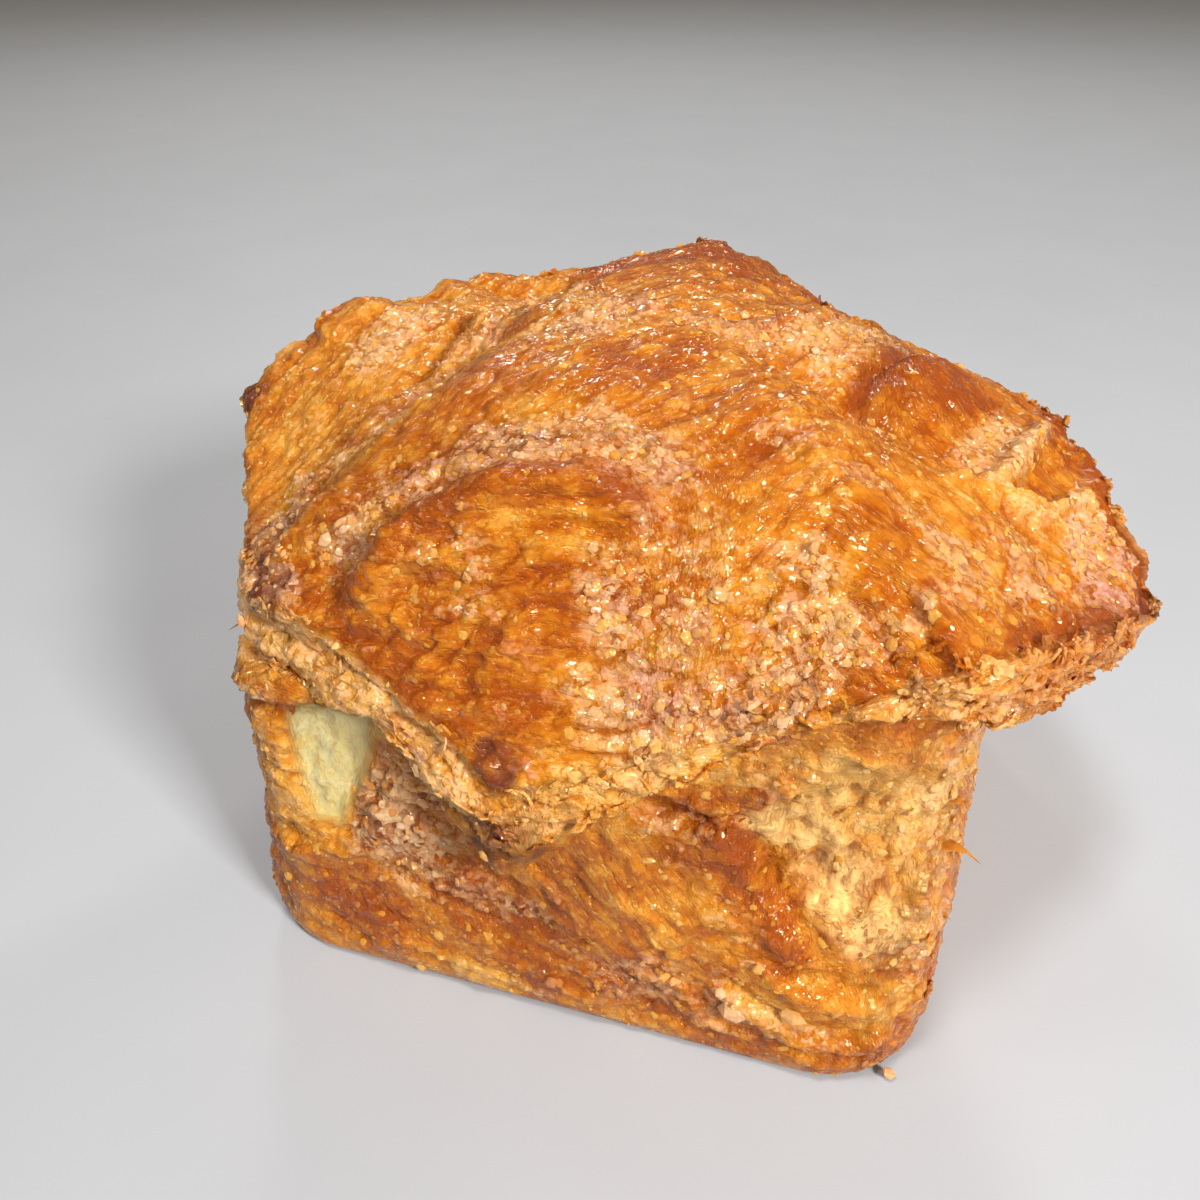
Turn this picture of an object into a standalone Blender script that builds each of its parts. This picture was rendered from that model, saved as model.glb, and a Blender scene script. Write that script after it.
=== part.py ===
"""Kouign amann: a caramelised, sugar-crusted laminated pastry, as one solid body.

A square of laminated dough is folded corner over corner, baked in a square tin and
turned out. The tin shaped the lower half, a block with rounded upright corners. The
upper half puffed out of the tin as a crown: a square sheet turned by 45 degrees,
whose four tips reach past the middles of the block's sides while its edges cross
over the block's corners.

Metres, +Z up. The origin is the centre of the flat foot. Front is -Y.
"""
import math

import bpy
import numpy as np

NODE_NAME = "pastry"

# Block: what the tin shaped.
BLOCK_HALF = 0.0360          # half the width across the flats
CORNER_RADIUS = 0.0105       # upright corners
FOOT_RADIUS = 0.0014         # edge between the foot and the sides

# Crown: how high it puffed.
CROWN_TOP = 0.0620
LIP_THICK = 0.0010           # how far the rim's lower edge lies inside its upper edge
CUT_BULGE = 0.0012           # how far the cut, layered edge swells out between them

# The crown's rim, counter-clockwise from the front tip. Each anchor gives its place,
# the heights of the rim's upper and lower edge, the height where the sheet leaves the
# block's wall, and how full the dome is above it: 1 rises in a straight line, larger
# values rise steeply and then level out.
RIM = [
    # x, y, upper, lower, wall, fullness
    (-0.0025, -0.0415, 0.0340, 0.0235, 0.0270, 4.0),    # front tip
    (0.0340, -0.0340, 0.0500, 0.0455, 0.0440, 2.6),     # over the front right corner
    (0.0520, -0.0030, 0.0400, 0.0385, 0.0350, 1.35),    # right tip
    (0.0330, 0.0330, 0.0460, 0.0410, 0.0400, 1.8),      # over the back right corner
    (-0.0040, 0.0410, 0.0590, 0.0540, 0.0480, 1.6),     # back tip
    (-0.0320, 0.0330, 0.0530, 0.0480, 0.0450, 1.6),     # over the back left corner
    (-0.0505, 0.0000, 0.0480, 0.0445, 0.0410, 1.6),     # left tip
    (-0.0325, -0.0310, 0.0420, 0.0350, 0.0330, 2.6),    # over the front left corner
]
# How far each edge bows up between its anchor and the next: upper edge, lower edge.
EDGE_BOW = [
    (-0.0010, 0.0040),
    (0.0000, -0.0030),
    (0.0045, 0.0010),
    (-0.0005, 0.0000),
    (-0.0005, 0.0000),
    (0.0045, 0.0030),
    (-0.0010, 0.0000),
    (0.0030, 0.0030),
]

# The fold on the left: the main sheet lies over the left flap along this line.
LEFT_FOLD = [(-0.037, -0.032), (-0.025, -0.015), (-0.020, 0.003), (-0.018, 0.020), (-0.014, 0.038)]
FOLD_DROP = 0.0055           # how far the left flap lies below the main sheet
FOLD_REACH = 0.011           # distance in which the flap rises back to the dome
FOLD_SHARP = 0.0018          # softness of the step itself

# The shoulder of the front flap, an arc round the front tip, and the dip behind it.
FRONT_SHOULDER = [(-0.021, -0.033), (-0.015, -0.030), (-0.006, -0.0275), (0.003, -0.0265), (0.009, -0.029)]
SHOULDER_RISE = 0.0016
SHOULDER_WIDTH = 0.0035

# Soft ridges of the right flap, a lobe and two folds that fan out of a pinch: start, end.
RIGHT_RIDGES = [
    ((0.023, 0.000), (0.031, 0.020)),
    ((0.0325, -0.0065), (0.0375, 0.0125)),
    ((0.0325, -0.0065), (0.0430, 0.0025)),
]
RIDGE_RISE = 0.0010
RIDGE_WIDTH = 0.0028

# Hollows in the front face where the folded dough did not press against the tin:
# x, z, half width, half height, depth.
FRONT_HOLLOWS = [
    (-0.0235, 0.0280, 0.0085, 0.0070, 0.0016),
    (0.0250, 0.0270, 0.0095, 0.0100, 0.0028),
]

# Fineness of the mesh.
STEPS_PER_EDGE = 12
FOOT_STEPS = 3
WALL_STEPS = 8
LIP_STEPS = 3
CUT_STEPS = 3
DOME_STEPS = 17

CRUST_COLOUR = (0.56, 0.21, 0.045, 1.0)
CRUST_ROUGHNESS = 0.35


def curve_through(points, steps=40):
    """Dense points of a smooth curve through the given ones, ends included."""
    given = np.array(points)
    first = 2 * given[0] - given[1]
    last = 2 * given[-1] - given[-2]
    padded = np.vstack([first, given, last])
    share = np.linspace(0, 1, steps, endpoint=False)[:, None]
    pieces = []
    for a, b, c, d in zip(padded, padded[1:], padded[2:], padded[3:]):
        bend = (2 * a - 5 * b + 4 * c - d) * share ** 2
        twist = (3 * b - a - 3 * c + d) * share ** 3
        pieces.append(0.5 * (2 * b + (c - a) * share + bend + twist))
    return np.vstack(pieces + [given[-1:]])


def beside(line, x, y):
    """Signed distance to a dense line, positive on its left, and the share along it."""
    gap = np.stack([x, y], axis=-1)[..., None, :] - line
    length = np.hypot(gap[..., 0], gap[..., 1])
    nearest = length.argmin(axis=-1)
    along = np.gradient(line, axis=0)[nearest]
    offset = np.take_along_axis(gap, nearest[..., None, None], axis=-2)[..., 0, :]
    side = along[..., 0] * offset[..., 1] - along[..., 1] * offset[..., 0]
    return np.sign(side) * length.min(axis=-1), nearest / (len(line) - 1)


def ease(share):
    """Smooth step from 0 to 1."""
    share = np.clip(share, 0, 1)
    return share * share * (3 - 2 * share)


def rim_columns():
    """One row for each column of the loft: x, y, upper, lower, wall, fullness."""
    rows = []
    for index, anchor in enumerate(RIM):
        here = np.array(anchor)
        following = np.array(RIM[(index + 1) % len(RIM)])
        bow_upper, bow_lower = EDGE_BOW[index]
        for step in range(STEPS_PER_EDGE):
            share = step / STEPS_PER_EDGE
            bow = 4 * share * (1 - share)
            row = here + (following - here) * share
            row[4:] = here[4:] + (following - here)[4:] * ease(share)
            row[2] += bow_upper * bow
            row[3] += bow_lower * bow
            row[4] += bow_lower * bow
            rows.append(row)
    return np.array(rows).T


def block_reach(cosine, sine):
    """Distance from the axis to the block's side, a square with rounded corners."""
    wide = np.maximum(abs(cosine), abs(sine))
    narrow = np.minimum(abs(cosine), abs(sine))
    centre = BLOCK_HALF - CORNER_RADIUS
    along = centre * (wide + narrow)
    inside = np.maximum(CORNER_RADIUS ** 2 - 2 * centre ** 2 + along ** 2, 0)
    flat = BLOCK_HALF / wide
    return np.where(flat * narrow < centre, flat, along + np.sqrt(inside))


def hollow_depth(x, z):
    """How far the front face is pressed in at a place."""
    depth = np.zeros_like(x)
    for centre_x, centre_z, half_width, half_height, deepest in FRONT_HOLLOWS:
        distance = np.hypot((x - centre_x) / half_width, (z - centre_z) / half_height)
        depth += deepest * (1 - ease(distance / 1.4))
    return depth


def ridge_rise(x, y):
    """Height of the soft ridges on the right flap."""
    rise = np.zeros_like(x)
    for start, end in RIGHT_RIDGES:
        distance, share = beside(curve_through([start, end]), x, y)
        rise += RIDGE_RISE * np.exp(-(distance / RIDGE_WIDTH) ** 2) * ease(share * 4)
    return rise


def dome_height(x, y, upper, fullness, inward):
    """Height of the crown; inward runs from 0 at the rim to 1 on the axis."""
    height = upper + (CROWN_TOP - upper) * (1 - (1 - inward) ** fullness)
    distance, share = beside(curve_through(LEFT_FOLD), x, y)
    step = 1 / (1 + np.exp(-distance / FOLD_SHARP))
    drop = FOLD_DROP * step * np.exp(-np.maximum(distance, 0) / FOLD_REACH)
    fade = ease(share * 8) * ease((1 - share) * 6) * ease(inward * 8)
    height -= drop * fade
    distance, share = beside(curve_through(FRONT_SHOULDER), x, y)
    swell = np.exp(-(distance / SHOULDER_WIDTH) ** 2)
    dip = np.exp(-((distance - 2 * SHOULDER_WIDTH) / SHOULDER_WIDTH) ** 2)
    height += SHOULDER_RISE * (swell - 0.7 * dip) * ease(share * 5) * ease((1 - share) * 5)
    return height + ridge_rise(x, y) * ease(inward * 10)


def foot_rings(reach):
    """Rings of the rounded edge between the foot and the sides."""
    for step in range(FOOT_STEPS + 1):
        angle = math.pi / 2 * step / FOOT_STEPS
        inset = FOOT_RADIUS * (1 - math.sin(angle))
        yield reach - inset, np.full_like(reach, FOOT_RADIUS * (1 - math.cos(angle)))


def wall_rings(reach, cosine, sine, wall):
    """Rings of the block's sides, up to where the crown leaves them."""
    facing = ease((-sine - abs(cosine)) * 8)
    for step in range(1, WALL_STEPS + 1):
        height = FOOT_RADIUS + (wall - FOOT_RADIUS) * step / WALL_STEPS
        yield reach - hollow_depth(reach * cosine, height) * facing, height


def lip_rings(reach, wall, rim_reach, lower):
    """Rings of the sheet's underside, from the wall out to the rim's lower edge."""
    for step in range(1, LIP_STEPS + 1):
        share = step / LIP_STEPS
        rise = share ** 1.5
        yield reach + (rim_reach - LIP_THICK - reach) * share, wall + (lower - wall) * rise


def cut_rings(rim_reach, upper, lower):
    """Rings of the cut edge that shows the layers."""
    for step in range(1, CUT_STEPS + 1):
        share = step / CUT_STEPS
        bulge = CUT_BULGE * math.sin(math.pi * share)
        yield rim_reach - LIP_THICK * (1 - share) + bulge, lower + (upper - lower) * share


def dome_rings(cosine, sine, rim_reach, upper, fullness):
    """Rings of the crown's upper side, from the rim's outline to a round centre."""
    round_reach = rim_reach.mean()
    for step in range(1, DOME_STEPS):
        inward = (step / DOME_STEPS) ** 1.15
        reach = (rim_reach + (round_reach - rim_reach) * ease(inward)) * (1 - inward)
        yield reach, dome_height(reach * cosine, reach * sine, upper, fullness, inward)


def pastry_rings():
    """All rings from the foot to the crown, each as an array of points."""
    x, y, upper, lower, wall, fullness = rim_columns()
    rim_reach = np.hypot(x, y)
    cosine = x / rim_reach
    sine = y / rim_reach
    reach = block_reach(cosine, sine)
    rings = list(foot_rings(reach))
    rings += wall_rings(reach, cosine, sine, wall)
    rings += lip_rings(reach, wall, rim_reach, lower)
    rings += cut_rings(rim_reach, upper, lower)
    rings += dome_rings(cosine, sine, rim_reach, upper, fullness)
    return [np.stack([r * cosine, r * sine, z], axis=-1) for r, z in rings]


def crown_centre():
    """The point where the columns meet on the axis."""
    place = np.zeros(1)
    height = dome_height(place, place, np.full(1, CROWN_TOP), np.ones(1), np.ones(1))
    return (0.0, 0.0, float(height[0]))


def pastry_mesh():
    """One closed body: a flat foot, the bridged rings and a fan at the centre."""
    rings = pastry_rings()
    count = len(rings[0])
    points = [tuple(point) for ring in rings for point in ring]
    points.append(crown_centre())
    faces = [tuple(reversed(range(count)))]
    for ring in range(len(rings) - 1):
        for column in range(count):
            after = (column + 1) % count
            low = ring * count
            high = low + count
            faces.append((low + column, low + after, high + after, high + column))
    last = (len(rings) - 1) * count
    centre = len(points) - 1
    faces += [(last + column, last + (column + 1) % count, centre) for column in range(count)]
    mesh = bpy.data.meshes.new(NODE_NAME)
    mesh.from_pydata(points, [], faces)
    mesh.validate()
    return mesh


def crust_material():
    """Baked, caramelised sugar crust."""
    material = bpy.data.materials.new("caramelised crust")
    material.use_nodes = True
    shader = material.node_tree.nodes["Principled BSDF"]
    shader.inputs["Base Color"].default_value = CRUST_COLOUR
    shader.inputs["Roughness"].default_value = CRUST_ROUGHNESS
    shader.inputs["Metallic"].default_value = 0.0
    return material


def main():
    for item in list(bpy.data.objects):
        bpy.data.objects.remove(item)
    mesh = pastry_mesh()
    mesh.materials.append(crust_material())
    mesh.shade_smooth()
    mesh.set_sharp_from_angle(angle=math.radians(50))
    pastry = bpy.data.objects.new(NODE_NAME, mesh)
    bpy.context.collection.objects.link(pastry)


main()
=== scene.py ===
# %% [markdown]
# # A kouign amann, from a plain frame to a sugared crust
#
# A kouign amann is a piece of laminated dough: bread dough folded again and again
# around butter and sugar, tucked corner over corner and baked in a square tin. The
# sugar melts, runs and sets as caramel, and the last handful, thrown on late, stays
# as half-melted grains. This lesson starts from the plain solid of the pastry and
# gives it folds, layers, caramel and sugar.
#
# The frame comes first. It holds the solid at its real size, and everything made
# below takes its place from it.

# %% Load the frame
import itertools
import math

import bpy
import numpy as np
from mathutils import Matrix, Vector


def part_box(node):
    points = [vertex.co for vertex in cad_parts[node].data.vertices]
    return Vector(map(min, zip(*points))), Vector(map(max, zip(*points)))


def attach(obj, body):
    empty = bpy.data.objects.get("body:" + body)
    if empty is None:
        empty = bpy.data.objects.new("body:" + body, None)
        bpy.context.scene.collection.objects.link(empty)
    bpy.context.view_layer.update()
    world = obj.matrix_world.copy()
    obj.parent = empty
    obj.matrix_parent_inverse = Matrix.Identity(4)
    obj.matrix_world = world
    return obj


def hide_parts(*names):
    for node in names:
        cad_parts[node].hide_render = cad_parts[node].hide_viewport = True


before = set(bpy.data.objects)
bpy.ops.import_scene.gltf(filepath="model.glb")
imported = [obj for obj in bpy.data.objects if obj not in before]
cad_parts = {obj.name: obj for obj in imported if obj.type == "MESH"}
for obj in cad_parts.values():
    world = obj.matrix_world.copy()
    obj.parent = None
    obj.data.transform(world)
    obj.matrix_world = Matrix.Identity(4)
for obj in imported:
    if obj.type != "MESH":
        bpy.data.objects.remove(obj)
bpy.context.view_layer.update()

# %% [markdown]
# ## Millimetres
#
# Sugar grains are about one millimetre, so the whole lesson counts in millimetres.
# Blender's own unit here is the metre, and the two meet only where a mesh is read or
# written.

# %% Read and write points
MM = 0.001


def read_points(mesh):
    """The mesh's points, in millimetres."""
    flat = np.empty(3 * len(mesh.vertices), np.float32)
    mesh.vertices.foreach_get("co", flat)
    return flat.reshape(-1, 3).astype(float) / MM


def write_points(mesh, points):
    """Moves the mesh's points to these places, given in millimetres."""
    mesh.vertices.foreach_set("co", (points * MM).astype(np.float32).ravel())
    mesh.update()


def read_facing(mesh):
    """The direction in which the skin faces at each point."""
    flat = np.empty(3 * len(mesh.vertices), np.float32)
    mesh.vertex_normals.foreach_get("vector", flat)
    return flat.reshape(-1, 3).astype(float)


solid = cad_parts["pastry"]
solid_points = read_points(solid.data)
print("the frame's pastry has", len(solid_points), "points")

# %% [markdown]
# ## Unevenness that repeats
#
# Nothing baked is even, so nearly every step below asks for some unevenness. Two
# kinds are enough. A *cloud* is soft: it rises and falls like dough. *Grains* are
# cells packed like crystals, each with a number of its own. Both start from a
# lattice: a number for each cell of space, worked out from the cell's place, so that
# every run gives the same pastry.

# %% Lattice, cloud and grains
def lattice(cells, seed):
    """A number from 0 to 1 for each whole-number cell, the same in every run."""
    # Multiplying by large odd numbers and folding the bits over stirs them well.
    mixed = cells[..., 0] * 73856093 ^ cells[..., 1] * 19349663 ^ cells[..., 2] * 83492791
    mixed = (mixed + seed * 2654435761) & 0xFFFFFFFF
    mixed = ((mixed ^ (mixed >> 15)) * 2246822519) & 0xFFFFFFFF
    mixed = ((mixed ^ (mixed >> 13)) * 3266489917) & 0xFFFFFFFF
    return (mixed ^ (mixed >> 16)) / 0xFFFFFFFF


def ease(share):
    """A smooth step from 0 to 1."""
    share = np.clip(share, 0, 1)
    return share * share * (3 - 2 * share)


def cloud(points, size, seed, octaves=3):
    """Soft unevenness of about -1 to 1, whose largest lumps measure size."""
    total = np.zeros(len(points))
    for octave in range(octaves):
        spot = points * (2 ** octave / size) + 17.3 * (octave + seed)
        cell = np.floor(spot).astype(np.int64)
        share = ease(spot - cell)
        value = np.zeros(len(points))
        for corner in itertools.product((0, 1), repeat=3):
            weight = np.prod(np.where(corner, share, 1 - share), axis=1)
            value += weight * lattice(cell + np.array(corner), seed + octave)
        total += (2 * value - 1) * 0.5 ** octave
    return total


def grains(points, size, seed):
    """Packed cells: 1 in a cell's middle and 0 at its edge, and the cell's number."""
    spot = points / size
    base = np.floor(spot).astype(np.int64)
    nearest = np.full(len(points), 9.0)
    second = np.full(len(points), 9.0)
    own = np.zeros(len(points))
    for shift in itertools.product((-1, 0, 1), repeat=3):
        cell = base + np.array(shift)
        middle = cell + np.stack([lattice(cell, seed + axis) for axis in range(3)], axis=1)
        gap = np.linalg.norm(spot - middle, axis=1)
        closer = gap < nearest
        second = np.where(closer, nearest, np.minimum(second, gap))
        own = np.where(closer, lattice(cell, seed + 3), own)
        nearest = np.where(closer, gap, nearest)
    return ease((second - nearest) * 1.6), own


bumps = cloud(solid_points, 10, 1)
print("a cloud runs from", round(bumps.min(), 2), "to", round(bumps.max(), 2))

# %% [markdown]
# ## An even skin
#
# The frame's solid has a few thousand facets. Sculpting needs a skin of even, tiny
# quads. Subdividing the facets would keep their long, thin shapes, so the solid is
# remeshed through voxels instead, which forgets the facets and leaves quads of one
# size. A few rounds of relaxing take the steps of the voxels and the facets away.

# %% Cover the solid with even quads
SKIN_SIZE = 0.40             # edge of a quad
RELAX_ROUNDS = 12


def even_skin(node, size):
    """A new mesh of even quads around a node of the frame."""
    copy = bpy.data.objects.new("even skin", node.data.copy())
    bpy.context.scene.collection.objects.link(copy)
    remesh = copy.modifiers.new("even quads", "REMESH")
    remesh.mode = "VOXEL"
    remesh.voxel_size = size * MM
    shown = copy.evaluated_get(bpy.context.evaluated_depsgraph_get())
    mesh = bpy.data.meshes.new_from_object(shown)
    bpy.data.objects.remove(copy)
    return mesh


def relax(points, edges, rounds):
    """Moves each point half way to the middle of its neighbours, several times."""
    first, last = edges.T
    count = np.bincount(edges.ravel(), minlength=len(points))[:, None]
    for _ in range(rounds):
        total = np.empty_like(points)
        for axis in range(3):
            total[:, axis] = np.bincount(first, points[last, axis], len(points))
            total[:, axis] += np.bincount(last, points[first, axis], len(points))
        points = 0.5 * (points + total / count)
    return points


skin = even_skin(solid, SKIN_SIZE)
skin_edges = np.empty(2 * len(skin.edges), np.int32)
skin.edges.foreach_get("vertices", skin_edges)
skin_edges = skin_edges.reshape(-1, 2)
write_points(skin, relax(read_points(skin), skin_edges, RELAX_ROUNDS))
home = read_points(skin)
facing = read_facing(skin)
print("skin:", len(skin.polygons), "quads; foot at", round(home[:, 2].min(), 2), "mm")

# %% [markdown]
# ## Routes on the surface
#
# Folds, ridges and torn edges follow lines on the pastry. A line is drawn with a few
# points seen from above, or from the front for the block's face, rounded into a
# smooth route, and dropped on the solid. What a point of the skin needs to know is
# how far it lies from the route, on which side, and how far along.

# %% Draw a route and measure from it
FAR = 99.0                   # farther than anything that matters here
OUTSIDE = 100.0              # well off the pastry
AT_ONCE = 20000              # points measured in one go, to spare memory
UP = np.array([0.0, 0.0, 1.0])
FRONT = np.array([0.0, -1.0, 0.0])


def rounded(points, steps=14):
    """Dense points of a smooth curve through the given ones."""
    given = np.array(points, float)
    padded = np.vstack([2 * given[0] - given[1], given, 2 * given[-1] - given[-2]])
    share = np.linspace(0, 1, steps, endpoint=False)[:, None]
    pieces = []
    for a, b, c, d in zip(padded, padded[1:], padded[2:], padded[3:]):
        bend = (2 * a - 5 * b + 4 * c - d) * share ** 2
        twist = (3 * b - a - 3 * c + d) * share ** 3
        pieces.append(0.5 * (2 * b + (c - a) * share + bend + twist))
    return np.vstack(pieces + [given[-1:]])


def drop_on_solid(place, side):
    """Where a straight line from outside, against side, meets the solid."""
    start = Vector((np.asarray(place) + OUTSIDE * side) * MM)
    hit, where, _, _ = solid.ray_cast(start, Vector(-side))
    return np.array(where) / MM if hit else None


def route_on(side, points):
    """A route given in plan, for the crown, or as x and height, for the front."""
    found = []
    for first, second in rounded(points):
        place = (first, second, 0.0) if side is UP else (first, 0.0, second)
        where = drop_on_solid(place, side)
        if where is not None:
            found.append(where)
    return np.array(found), side


def beside(route, places, reach=18.0):
    """Distance from the route, positive on its left, and the share of the way along."""
    line, side = route
    along = np.gradient(line, axis=0)
    distance = np.full(len(places), FAR)
    share = np.zeros(len(places))
    inside = (places > line.min(axis=0) - reach) & (places < line.max(axis=0) + reach)
    close = np.flatnonzero(inside.all(axis=1))
    for some in np.array_split(close, len(close) // AT_ONCE + 1):
        gap = places[some, None] - line
        length = np.linalg.norm(gap, axis=2)
        nearest = length.argmin(axis=1)
        gap = gap[np.arange(len(some)), nearest]
        left = np.cross(along[nearest], gap) @ side
        distance[some] = np.where(left < 0, -1, 1) * length.min(axis=1)
        share[some] = nearest / (len(line) - 1)
    return distance, share


def hump(distance, width):
    """A rounded hump of height 1 around distance 0."""
    return np.exp(-(distance / width) ** 2)


def ends(share, first=0.15, last=0.15):
    """1 along a route, fading to 0 towards its two ends."""
    return ease(share / first) * ease((1 - share) / last)


print("top of the dome:", drop_on_solid((0, 0, 0), UP).round(1), "mm")

# %% [markdown]
# ## Where the crown ends
#
# The crown is a square sheet set across the square block, so its rim passes through
# eight places: four tips over the middles of the block's sides and four crossings
# over the block's corners. They are the frame's own, repeated here so that the cut,
# layered edge under the rim and the wall below it can be told from the rest.

# %% The rim's eight places
RIM = np.array([
    # x, y, rim's height, wall's height, bow of the rim and of the wall to the next place
    (-2.5, -41.5, 34.0, 27.0, -1.0, 4.0),
    (34.0, -34.0, 50.0, 44.0, 0.0, -3.0),
    (52.0, -3.0, 40.0, 35.0, 4.5, 1.0),
    (33.0, 33.0, 46.0, 40.0, -0.5, 0.0),
    (-4.0, 41.0, 59.0, 48.0, -0.5, 0.0),
    (-32.0, 33.0, 53.0, 45.0, 4.5, 3.0),
    (-50.5, 0.0, 48.0, 41.0, -1.0, 0.0),
    (-32.5, -31.0, 42.0, 33.0, 3.0, 3.0),
])
RIM_STEPS = 12


def rim_table():
    """Angle, distance from the axis, rim's height and wall's height, all round."""
    rows = []
    for here, following in zip(RIM, np.roll(RIM, -1, axis=0)):
        for step in range(RIM_STEPS):
            share = step / RIM_STEPS
            bow = 4 * share * (1 - share)
            row = here + (following - here) * share
            row[2] += here[4] * bow
            row[3] = here[3] + (following - here)[3] * ease(share) + here[5] * bow
            rows.append((math.atan2(row[1], row[0]), math.hypot(row[0], row[1]), *row[2:4]))
    return np.array(sorted(rows)).T


def rim_beside(places):
    """The rim's distance and height and the wall's height in each place's direction."""
    angle = np.arctan2(places[:, 1], places[:, 0])
    known, *columns = rim_table()
    return [np.interp(angle, known, column, period=2 * math.pi) for column in columns]


rim_misses = [np.linalg.norm(solid_points - row[:3], axis=1).min() for row in RIM]
print("rim: at most", round(max(rim_misses), 3), "mm from the frame's own points")

# %% [markdown]
# ## Crown, cut edge, underside and block
#
# Relief that suits the top of the crown would look wrong on the block, so each point
# of the skin gets a share from 0 to 1 in every part. Hard borders would leave steps,
# so the shares ease into each other over about a millimetre.

# %% Share the skin out
rim_reach, rim_height, wall_top = rim_beside(home)
reach = np.hypot(home[:, 0], home[:, 1])
height = home[:, 2]
inward = rim_reach - reach
crown = ease(height - wall_top + 0.5)
above_rim = ease((height - rim_height) / 0.9 + 0.7)
roof = ease(facing[:, 2] * 4 - 0.6) * ease(inward - 1.0)
top = crown * np.maximum(above_rim, roof)
cut = crown * (1 - top) * ease((2.6 - inward) / 1.2)
under = crown * (1 - top) * (1 - cut)
block = 1 - crown
print("skin on top", int(top.sum()), "cut edge", int(cut.sum()), "under", int(under.sum()))

# %% [markdown]
# ## Areas
#
# Another thing a point needs to know is which area it belongs to: a frosted patch,
# a pool of caramel, a bare piece of dough. An area is an oval with a ragged border,
# seen from above or from the front, and it counts only where the skin faces that way.

# %% Ovals and patches with ragged borders
ragged = 0.35 * cloud(home, 7, 41, 3) + 0.15 * cloud(home, 1.6, 44, 2)


def area(side, middle, half, turn=0.0, soft=0.5):
    """1 inside an oval of the given half sizes, turned by some degrees, 0 outside."""
    across = home[:, 0] - middle[0]
    along = (home[:, 1] if side is UP else home[:, 2]) - middle[1]
    turned = math.cos(math.radians(turn)), math.sin(math.radians(turn))
    first = (across * turned[0] + along * turned[1]) / half[0]
    second = (along * turned[0] - across * turned[1]) / half[1]
    far = np.hypot(first, second) + ragged
    return ease((1 + soft / 2 - far) / soft) * ease(facing @ side * 3)


def areas(*ovals):
    """The strongest of several areas, each a side, a middle, half sizes and a turn."""
    return np.maximum.reduce([area(*oval) for oval in ovals])


def torn_patch(corners, soft):
    """1 inside a patch of the front face with straight torn sides, 0 outside."""
    inside = np.full(len(home), FAR)
    for here, following in zip(corners, np.roll(corners, -1, axis=0)):
        along = np.subtract(following, here) / math.dist(here, following)
        gap = home[:, [0, 2]] - here
        inside = np.minimum(inside, along[0] * gap[:, 1] - along[1] * gap[:, 0])
    return ease(0.5 + (inside + 1.6 * ragged) / soft) * ease(facing @ FRONT * 3)


print("borders stray by up to", round(100 * np.abs(ragged).max()), "% of an area's size")

# %% [markdown]
# ## The block's front, area by area
#
# The front shows most of what happened to the block. At the left looks out a patch of
# bare dough, which the fold above it kept free of sugar. A tongue of caramelised
# dough runs down the middle, and right of it the side is torn open into a pocket of
# crumb with a hollow in it. Ovals suit all of these but the bare dough, whose torn
# sides are straight.

# %% Areas of the block's front
tongue = block * area(FRONT, (4, 23), (11, 9), -35)
pocket = area(FRONT, (26.0, 28.0), (7.2, 12), -14, 0.6)
open_crumb = area(FRONT, (27.3, 23.0), (6.8, 3.8), -58, 0.8)
hollow = area(FRONT, (21.8, 29.9), (4.6, 3.2), -25, 0.4)
pocket_roof = area(FRONT, (27.5, 36.5), (7.5, 6.0), 0, 0.9)
dough_corners = [(-27.6, 31.8), (-27.2, 25.0), (-25.2, 19.6), (-22.2, 19.2),
                 (-19.0, 26.0), (-16.6, 35.3)]
bare_dough = torn_patch(dough_corners, 3.0)
dough_border = torn_patch(dough_corners, 5.0)
print("pocket:", int((pocket > 0.5).sum()), "points, bare dough:",
      int((bare_dough > 0.5).sum()))

# %% [markdown]
# ## Which way the dough was pulled
#
# Dough wrinkles and flakes along the direction in which it was pulled. That is
# lengthways beside the left fold, crossways on the front flap, outwards on the right
# one, and round the block on its sides. So unevenness on the pastry is drawn out, and
# each part draws it out its own way.

# %% Unevenness drawn out along each part's own pull
front_flap = crown * ease((-18 - home[:, 1]) / 8) * ease((16 - home[:, 0]) / 10)
right_flap = crown * ease((home[:, 0] - 18) / 8)
left_part = crown * ease((-12 - home[:, 0]) / 10) * (1 - front_flap)
middle = crown * (1 - np.maximum.reduce([front_flap, right_flap, left_part]))
sideways = block * ease(np.abs(facing[:, 0]) * 2 - 0.5)
upright = np.maximum(pocket, bare_dough)
plain_front = block * (1 - sideways) * (1 - tongue) * (1 - upright)
rim_edge = np.maximum(cut, under)
to_right, to_back = ease(home[:, 0] / 4 + 0.5), ease(home[:, 1] / 4 + 0.5)
PULLS = [
    (middle * (1 - rim_edge), (0.6, 0.8, 0.1)),
    (left_part * (1 - rim_edge), (0.3, 1.0, 0.1)),
    (front_flap * (1 - rim_edge), (1.0, 0.15, 0.1)),
    (right_flap * (1 - rim_edge), (1.0, -0.3, -0.4)),
    (rim_edge * to_right * (1 - to_back), (0.8, 0.6, 0.1)),
    (rim_edge * (1 - to_right) * (1 - to_back), (-0.8, 0.6, 0.1)),
    (rim_edge * to_right * to_back, (-0.8, 0.6, 0.1)),
    (rim_edge * (1 - to_right) * to_back, (0.8, 0.6, 0.1)),
    (sideways * (1 - upright), (0.0, 1.0, 0.2)),
    (tongue, (0.6, 0.0, -0.8)),
    (upright, (0.3, 0.0, 1.0)),
    (plain_front, (1.0, 0.0, -0.2)),
]
HARDLY = 0.02                # a share that is as good as none


def drawn_out(places, along, ratio):
    """Places squeezed along a pull, so that unevenness read there is drawn out."""
    along = np.array(along) / np.linalg.norm(along)
    return places + np.outer(places @ along, along) * (ratio - 1)


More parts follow.
